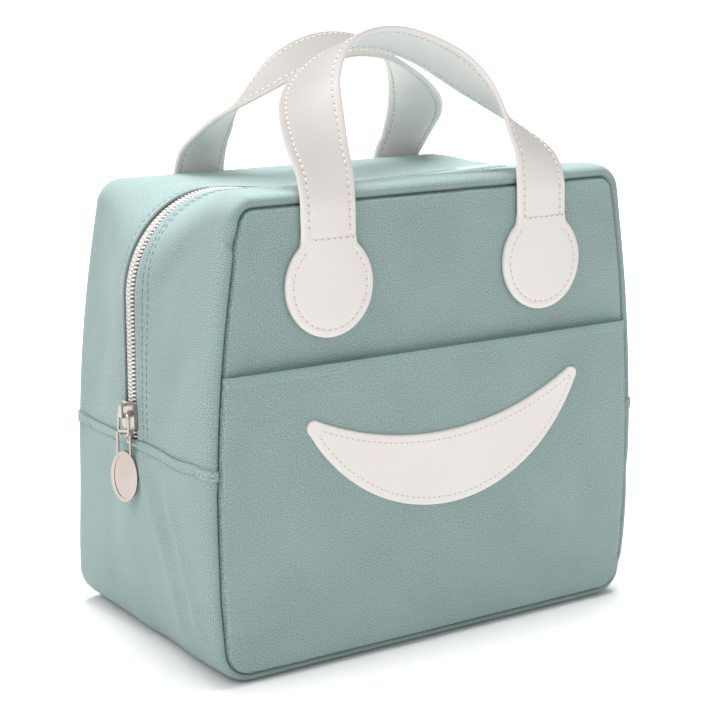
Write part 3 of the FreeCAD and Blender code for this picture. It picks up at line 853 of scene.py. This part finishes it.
SECOND_ROW = TOPSTITCH + 4.0  # the front strip has two rows
for side_name, y_side, offsets in (("front", FRONT, (TOPSTITCH, SECOND_ROW)),
                                   ("back", BACK, (TOPSTITCH,))):
    paths = [hem_stitches(y_side, offset) for offset in offsets]
    stitches = sew(side_name + "_zip_topstitch", "canvas", paths, **CANVAS_STITCH)
    bend_with_mouth(stitches)
paths = [side_stitches(run) for run in ((1 - HEM_ROW) / 2, (1 + HEM_ROW) / 2)]
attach(sew("side_seam_topstitch", "canvas", paths, **CANVAS_STITCH), "bag_base")


POCKET_ROW = POCKET_TOP - 4.3  # height of the pocket hem's stitches
POCKET_ROW_END = 111  # and how far they run to both sides
TOWARDS_FRONT = Vector((0, -1, 0))


def pocket_depth(x, z):
    """The pocket's outer face with its sunken seam, gathers and the groove of its hem stitches."""
    gap = CUTS[FRONT].gap(x, z)
    hem_row = 0.45 * hump(z - POCKET_ROW, 1.2)
    return pocket_surface(x, z) - panel_edge(gap) - pucker(x, z) - hem_row


def make_pocket():
    """The slip pocket: canvas from the foot seam to a turned hem."""
    rows, columns = 76, 110
    cut = CUTS[FRONT]

    def shape(u, v):
        k = round(v * rows)
        inset, lift = HEM[rows - k] if rows - k < len(HEM) else (0.0, 0.0)
        z = mix(cut.foot, POCKET_TOP, 1 - cos(pi / 2 * min(1.0, k / (rows - len(HEM)))))
        x = cut.shift(z) + (2 * crowded(u) - 1) * cut.row(z)
        return Vector((x, -pocket_depth(x, z) - 0.7 * lift, z - inset))

    return cloth("front_pocket_canvas", grid(columns, rows, shape, lambda u, v: shape(u, v).xz))


front_pocket = make_pocket()
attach(front_pocket, "bag_base")
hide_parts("front_pocket")
path = [(Vector((x, -pocket_depth(x, POCKET_ROW) - 0.05, POCKET_ROW)), TOWARDS_FRONT)
        for x in range(-POCKET_ROW_END, POCKET_ROW_END + 1, 3)]
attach(sew("pocket_hem_topstitch", "canvas", [path], **CANVAS_STITCH), "bag_base")


# Crescent on the pocket, as in the CAD model: centre height, radius and half angle of its two edges
CRESCENT_LOWER = (149.9, 86.2, radians(61.0))
CRESCENT_UPPER = (260.1, 162.8, radians(25.7))
CRESCENT_WAIST = 97.3  # it is turned about this height
CRESCENT_TURN = radians(2.2)
CRESCENT_SHIFT = 4.0
CRESCENT_THICKNESS = 1.3
CRESCENT_EDGE = 0.8  # rounding of its cut edge
SEW_INSET = 3.5  # stitches run this far inside the leather's edge


def crescent_rib(u):
    """Middle (x, z) of the crescent and the way to its upper edge, u from -1 to 1 between the tips."""
    low, high = (Vector((radius * sin(u * sweep), centre - radius * cos(u * sweep)))
                 for centre, radius, sweep in (CRESCENT_LOWER, CRESCENT_UPPER))
    return (low + high) / 2, (high - low) / 2


def on_pocket(flat, rise):
    """A point of the upright crescent, turned, shifted and laid on the pocket."""
    c, s = cos(CRESCENT_TURN), sin(CRESCENT_TURN)
    x, up = flat.x, flat.y - CRESCENT_WAIST
    x, z = x * c - up * s + CRESCENT_SHIFT, CRESCENT_WAIST + x * s + up * c
    return Vector((x, -pocket_surface(x, z) - rise, z))


def make_crescent():
    """A patch of leather with round tips and a rounded edge."""
    columns, rows, cap = 112, 30, 8

    def shape(u, v):
        j = round(u * columns)
        turn = min(j, columns - j, cap) / cap * pi / 2
        along = (j - cap) / (columns - 2 * cap) * 2 - 1
        middle, arm = crescent_rib(max(-1.0, min(1.0, along)))
        tip = Vector((arm.y, -arm.x)) if along > 0 else Vector((-arm.y, arm.x))
        across = -cos(pi * v)
        flat = middle + tip * cos(turn) + arm * sin(turn) * across
        gap = arm.length * sin(turn) * (1 - abs(across))
        edge = 1 - min(1.0, gap / CRESCENT_EDGE)
        return on_pocket(flat, 0.1 + CRESCENT_THICKNESS * sqrt(1 - edge * edge))

    bm = grid(columns, rows, shape, lambda u, v: (160 * u, 34 * v))
    bmesh.ops.remove_doubles(bm, verts=bm.verts[:], dist=0.001 * MM)
    return cloth("crescent_leather", bm, "leather", leather_white, 0.5)


crescent = make_crescent()
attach(crescent, "bag_base")
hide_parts("crescent_patch")
paths = ([], [])
for path, edge_side in zip(paths, (-1, 1)):
    for rib, arm in (crescent_rib(i / 60) for i in range(-60, 61)):
        if arm.length > SEW_INSET + 0.8:
            inset_share = edge_side * (1 - SEW_INSET / arm.length)
            spot = on_pocket(rib + arm * inset_share, CRESCENT_THICKNESS + 0.05)
            path.append((spot, TOWARDS_FRONT))
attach(sew("crescent_stitches", "leather", paths, pitch=3.0, stitch=2.0, thread=0.28), "bag_base")


# Handles: the middle line of each strap above its tabs, from left to right, as for a front strap
FRONT_ROUTE = ((-58.2, -64.5, 214.0), (-55.0, -52.0, 231.0), (-46.0, -36.5, 251.5), (-28.0, -28.0, 265.5),
               (-1.0, -24.5, 270.5), (23.0, -29.5, 263.5), (43.8, -39.5, 247.5), (55.5, -52.5, 229.5),
               (60.0, -64.5, 214.0))
BACK_ROUTE = ((-41.0, -64.5, 214.0), (-39.5, -53.0, 227.0), (-29.0, -42.0, 241.5), (-11.8, -32.0, 256.4),
              (10.0, -28.5, 264.2), (38.0, -30.5, 261.5), (63.0, -39.5, 248.5), (77.5, -52.0, 230.0),
              (80.0, -64.5, 213.5))
# Shares of a strap's length between which each leg turns its inner edge to the front
FRONT_TWIST = {-1: (0.08, 0.46), 1: (0.06, 0.36)}
BACK_TWIST = {-1: (0.06, 0.44), 1: (0.06, 0.40)}
STRAP_LEAN = radians(20)  # that edge is raised by this at the top
BACK_SHIFT = 18.0  # the back handle's tabs stand this far to the right
TAB_SPACING = 118.5
TAB_HEIGHT = 169.0
TAB_RADIUS = 22.5
TAB_NECK = 21.4  # a tab is cut level this far above its middle, under the strap's end
STITCH_ROW = 17.5  # a tab's stitches start this far above its middle
NECK_FILLET = 2.0
HANDLE_SEAT = 0.2
STITCH_HEIGHT = 189.0  # of the cross stitch that holds a strap, which bends above it
SEATED = (186.0, 188.0, 191.0, 196.0, 204.0)  # heights up to which a strap lies on the panel
STRAP_HALF_WIDTH = 14.0
STRAP_THICKNESS = 2.4
STRAP_STATIONS = 120
# A tab's section from its foot inwards: inset from its outline, rise, with a groove under the stitches
TAB_SECTION = ((0.0, 0.0), (0.0, 1.5), (0.2, 2.0), (0.7, 2.25), (2.6, 2.3), (3.05, 2.2), (3.5, 2.05),
               (3.95, 2.2), (4.6, 2.3), (9.0, 2.3), (15.0, 2.3), (30.0, 2.3))
TAB_TOP = TAB_SECTION[-1][1]


def strap_points(route, shift):
    """The middle line of a front strap, from under its left cross stitch over the top to the right one."""
    ends = []
    for height in SEATED:
        sunk = 0.5 * (1 - ease((height - 187) / 4))
        ends.append((face_depth(height) + HANDLE_SEAT + STRAP_THICKNESS / 2 - sunk, height))
    left, right = ([Vector((shift + sign * TAB_SPACING / 2, -y, z)) for y, z in ends] for sign in (-1, 1))
    return left + [Vector(point) for point in route] + right[::-1]


def smooth_line(points):
    """A smooth line through points."""
    steps = 16
    spans = [(b - a).length for a, b in zip(points, points[1:])]
    pulls = [(points[1] - points[0]) / spans[0]]
    for i in range(1, len(points) - 1):
        before = (points[i] - points[i - 1]) / spans[i - 1]
        after = (points[i + 1] - points[i]) / spans[i]
        pulls.append((before * spans[i] + after * spans[i - 1]) / (spans[i] + spans[i - 1]))
    pulls.append((points[-1] - points[-2]) / spans[-1])
    line = [points[0]]
    for i, span in enumerate(spans):
        first, last = points[i], points[i + 1]
        line += geometry.interpolate_bezier(first, first + pulls[i] * span / 3,
                                            last - pulls[i + 1] * span / 3, last, steps)[1:]
    return line


def strap_frames(line, twist):
    """Evenly spaced stations along a strap: point, direction across the strap, direction out of it."""
    total = sum((b - a).length for a, b in zip(line, line[1:]))
    spots = walk([(p, Vector((0, 0, 1))) for p in line], total / (STRAP_STATIONS + 1))
    frames = []
    for i, (spot, along, _) in enumerate(spots):
        share = (i + 0.5) / len(spots)
        hand = -1 if share < 0.5 else 1
        begin, done = twist[hand]
        turn = ease((0.5 - abs(share - 0.5) - begin) / (done - begin)) * pi / 2
        across = Vector((-hand * cos(turn), -sin(turn) * cos(STRAP_LEAN), sin(turn) * sin(STRAP_LEAN)))
        across = (across - along * across.dot(along)).normalized()
        frames.append((spot, across, across.cross(along)))
    return frames


def strap_section():
    """Round the strap's section: across and out in mm, with a groove under each row of stitches."""
    half, thick = STRAP_HALF_WIDTH, STRAP_THICKNESS / 2
    row = half - SEW_INSET
    stations = (-12.8, -11.6, -11.0, -row, -10.0, -9.2, -6, -2.5)
    face = [(x, thick + 0.1 * (1 - (x / half) ** 2)) for x in stations]
    face = [(x, y - (0.3 if abs(x + row) < 0.1 else 0.1 if abs(x + row) < 0.6 else 0.0)) for x, y in face]
    face += [(-x, y) for x, y in reversed(face)]
    edge = [(13.6, thick - 0.25), (half, 0.5), (half + 0.1, 0.0), (half, -0.5), (13.6, 0.25 - thick)]
    return face + edge + [(x, -y) for x, y in reversed(face)] + [(-x, -y) for x, y in edge]


def make_strap(name, frames, y_side):
    """A strap: its section carried along the frames, closed at both ends."""
    section = strap_section()
    section.append(section[0])
    columns, rows = len(section) - 1, len(frames) - 1

    def shape(u, v):
        across, out = section[round(u * columns)]
        spot, aside, away = frames[round(v * rows)]
        return (spot + aside * across + away * out) * Vector((1, -y_side, 1))

    bm = grid(columns, rows, shape, lambda u, v: (60 * u, 340 * v))
    close_up(bm, 0.01)
    obj = piece(name, bm, "leather", leather_white)
    finer = obj.modifiers.new("smooth", "SUBSURF")
    finer.levels = finer.render_levels = 1
    return obj


def on_tab(x, z, y_side, rise):
    """A point that stands rise off a tab's seat."""
    return Vector((x, y_side * (face_depth(z) + HANDLE_SEAT + rise), z))


def tab_reach(angle):
    """Distance from a tab's middle to its outline, at an angle from straight up."""
    reach = TAB_RADIUS
    if cos(angle) > 0:
        neck = STRAP_HALF_WIDTH / max(abs(sin(angle)), 1e-6)
        near = max(0.0, 1 - abs(neck - reach) / NECK_FILLET)
        reach = min(max(neck, reach) + near * near * NECK_FILLET / 4, TAB_NECK / cos(angle))
    return reach


def make_tab(name, middle_x, y_side):
    """A round leather tab that runs level into the strap above it."""
    columns, rows = 144, len(TAB_SECTION) - 1

    def shape(u, v):
        angle = 2 * pi * u - pi
        inset, rise = TAB_SECTION[round(v * rows)]
        if rise:
            rise = mix(TAB_TOP, rise, ease((abs(angle) - 0.5) / 0.1))
        radius = max(0.0, tab_reach(angle) - inset)
        return on_tab(middle_x + radius * sin(angle), TAB_HEIGHT + radius * cos(angle), y_side, rise)

    bm = grid(columns, rows, shape, lambda u, v: (140 * u, 22 * v))
    close_up(bm, 0.002)
    return piece(name, bm, "leather", leather_white)


def make_handle(side_name, route, shift, twist, y_side):
    """A strap with its stitches, two tabs and their stitches."""
    half, body = side_name + "_half", side_name + "_handle"
    row = STRAP_HALF_WIDTH - SEW_INSET
    frames = strap_frames(smooth_line(strap_points(route, shift)), twist)
    strap = make_strap(side_name + "_strap_leather", frames, y_side)
    flip = Vector((1, -y_side, 1))
    paths = []
    for across in (-row, row):
        for face in (1, -1):
            rise = face * (STRAP_THICKNESS / 2 - 0.12)
            paths.append([((spot + aside * across + out * rise) * flip, out * face * flip)
                          for spot, aside, out in frames[2:-2]])
    stitches = sew(side_name + "_strap_stitches", "leather", paths)
    for bent in (strap, stitches):
        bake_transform(bent)
    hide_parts(side_name + "_strap", side_name + "_strap_backing")
    radius = TAB_RADIUS - SEW_INSET
    start = asin(row / radius)
    arc = [start + (2 * pi - 2 * start) * i / 60 for i in range(61)]
    ring = [(row, STITCH_ROW), *((radius * sin(a), radius * cos(a)) for a in arc), (-row, STITCH_ROW)]
    out = Vector((0, y_side, 0))
    paths = []
    for name, sign in (("left", -1), ("right", 1)):
        middle = shift + sign * TAB_SPACING / 2
        tab = make_tab(f"{side_name}_tab_{name}_leather", middle, y_side)
        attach(tab, half)
        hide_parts(f"{side_name}_tab_{name}")
        paths.append([(on_tab(middle + x, TAB_HEIGHT + z, y_side, TAB_TOP - 0.2), out) for x, z in ring])
        paths.append([(on_tab(middle + x, STITCH_HEIGHT, y_side, TAB_TOP + 0.15), out)
                      for x in (-row, 0, row)])
    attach(sew(side_name + "_tab_stitches", "leather", paths), half)


make_handle("front", FRONT_ROUTE, 0.0, FRONT_TWIST, FRONT)
make_handle("back", BACK_ROUTE, BACK_SHIFT, BACK_TWIST, BACK)


# Zip: rows of teeth and tape along the gusset's middle line
TOOTH_PITCH = 1.85
TEETH_FROM = 94.0  # height of the lowest teeth on both sides
TAPE_WIDTH = 11.0
SLIDER_FOOT = 100.6
PARTED = 1.3  # half the gap between the rows below the slider
SINK_FROM, SINK = 66.0, 1.3  # on top the teeth sink under the hems, from this x inwards
TOOTH_SIZES = (2.15, 0.6, 0.7)  # half sizes across the zip, along it and outwards
TOOTH_SLANT = 0.18
ROW_AWAY = 1.5  # a row's middle stands this far from the zip's
TAPE_DEPTH, TAPE_AWAY = 1.35, 0.35


def zip_path():
    """The zip's line from the left end over the top to the right end: (point, outward)."""
    path = []
    count = 480
    for i in range(count + 1):
        side, part, share = station(i / count, UPPER_RUNS)
        middle, out = rims(FRONT, side, part, share)[2:]
        if middle.y < TEETH_FROM:
            continue
        sunk = top_folds(middle.x, 0.0, middle.y) * top_share(middle.y)
        if part == TOP:
            sunk -= SINK * ease((SINK_FROM - middle.x) / HEM_CLOSES_OVER)
        middle = middle + out * sunk
        path.append((upright(side, middle), upright(side, out)))
    return path


def parting(point):
    """How far a row stands off the middle below the slider."""
    return PARTED * ease((SLIDER_FOOT + 2 - point.z) / 6) if point.x < 0 else 0.0


def make_teeth(name, y_side):
    """A row of coil turns. Both rows overlap in the middle and leave gaps at the sides."""
    bm = bmesh.new()
    for spot, along, out in walk(zip_path(), TOOTH_PITCH):
        centre = spot + along * TOOTH_PITCH * 0.25 * y_side - out * 0.1
        centre.y += y_side * (ROW_AWAY + parting(spot))
        across = (Vector((0, y_side, 0)) + along * TOOTH_SLANT).normalized()
        bead(bm, centre, across, out, TOOTH_SIZES, (8, 6))
    return piece(name, bm, "zip_teeth", coil_silver)


def make_tape(name, y_side):
    """Half of the zip's tape, sewn under the canvas."""
    path = zip_path()
    columns, rows = len(path) - 1, 6

    def shape(u, v):
        spot, out = path[round(u * columns)]
        away = TAPE_AWAY + parting(spot) + TAPE_WIDTH * v
        return spot - out * TAPE_DEPTH + Vector((0, y_side * away, 0))

    bm = grid(columns, rows, shape, lambda u, v: (430 * u, TAPE_WIDTH * v))
    return cloth(name, bm, "zip_tape", tape_white, 0.5)


# The ends of both rows and tapes go with the front ones
for side_name, y_side, teeth_ends, tape_ends in (
        ("front", FRONT, ["zip_teeth_ends"], ["zip_tape_ends"]),
        ("back", BACK, [], [])):
    teeth = make_teeth(side_name + "_zip_coil", y_side)
    tape = make_tape(side_name + "_zip_tape_cloth", y_side)
    for soft in (teeth, tape):
        bend_with_mouth(soft)
    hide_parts(side_name + "_zip_teeth", *teeth_ends)
    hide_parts(side_name + "_zip_tape", *tape_ends)

for node in ("slider_body", "slider_bridge", "pull_ring", "pull_tab", "zip_stops"):
    metal = frame["nodes"][node].data.materials
    metal.clear()
    metal.append(nickel_warm)

# Stage: white floor that keeps the shadow, white background, soft light from the upper left and from above
floor_mesh = bmesh.new()
bmesh.ops.create_grid(floor_mesh, x_segments=1, y_segments=1, size=20.0)
floor_material, tree, shader = new_material("studio_floor",
                                            {"Roughness": 0.95, "Base Color": linear("#F0F0F0")})
ray = add(tree, "LightPath")
place = add(tree, "TexCoord").outputs["Object"]
away = add(tree, "VectorMath", {0: place}, operation="LENGTH").outputs["Value"]
# The floor's camera glow fades out towards the bag, so the floor round it is painted darker: painted shade
# on top of the lamps' real shadow
bright = add(tree, "MapRange", {0: away, 1: 0.2, 2: 0.9, 3: 0.03, 4: 1.0}, interpolation_type="SMOOTHSTEP")
seen = add(tree, "Math", {0: ray.outputs["Is Camera Ray"], 1: bright}, operation="MULTIPLY")
glow = add(tree, "Emission", {"Color": linear("#FFFFFF"), "Strength": seen})
both = add(tree, "AddShader", {0: shader, 1: glow})
connect(tree.nodes["Material Output"], {"Surface": both})
mesh_object("floor", floor_mesh, floor_material)

scene.world = bpy.data.worlds.new("studio")
scene.world.use_nodes = True
tree = scene.world.node_tree
ray = add(tree, "LightPath").outputs
seen = add(tree, "Math", {0: ray["Is Camera Ray"], 1: ray["Is Glossy Ray"]}, operation="MAXIMUM")
level = add(tree, "MapRange", {0: seen, 3: 0.4, 4: 1.0})
connect(tree.nodes["Background"], {"Strength": level, "Color": linear("#FFFFFF")})


def aimed(name, data, place, target):
    """A lamp or camera that looks from a place at a target."""
    obj = add_object(name, data)
    obj.location = place
    obj.rotation_euler = (Vector(target) - obj.location).to_track_quat("-Z", "Y").to_euler()
    return obj


def softbox(name, place, size, power):
    lamp = bpy.data.lights.new(name, "AREA")
    lamp.size = size
    lamp.energy = power
    return aimed(name, lamp, place, BAG_MIDDLE)


softbox("key", (-1.1, -0.2, 1.3), size=1.1, power=11.5)
softbox("fill", (0.6, -1.4, 0.8), size=0.9, power=1.2)
overhead = softbox("overhead", (0.2, 0.3, 1.6), size=1.2, power=42)
# The lamp above is kept off the white leather, which would clip
under_lamp = bpy.data.collections.new("under_lamp")
for obj in bpy.data.objects:
    if obj.type == "MESH" and leather_white.name not in obj.data.materials:
        under_lamp.objects.link(obj)
overhead.light_linking.receiver_collection = under_lamp

camera_data = bpy.data.cameras.new("camera")
camera_data.lens = 100
scene.camera = aimed("camera", camera_data, (-0.5387, -0.7623, 0.3149), (0.006, 0, 0.1164))
scene.view_settings.view_transform = "Standard"
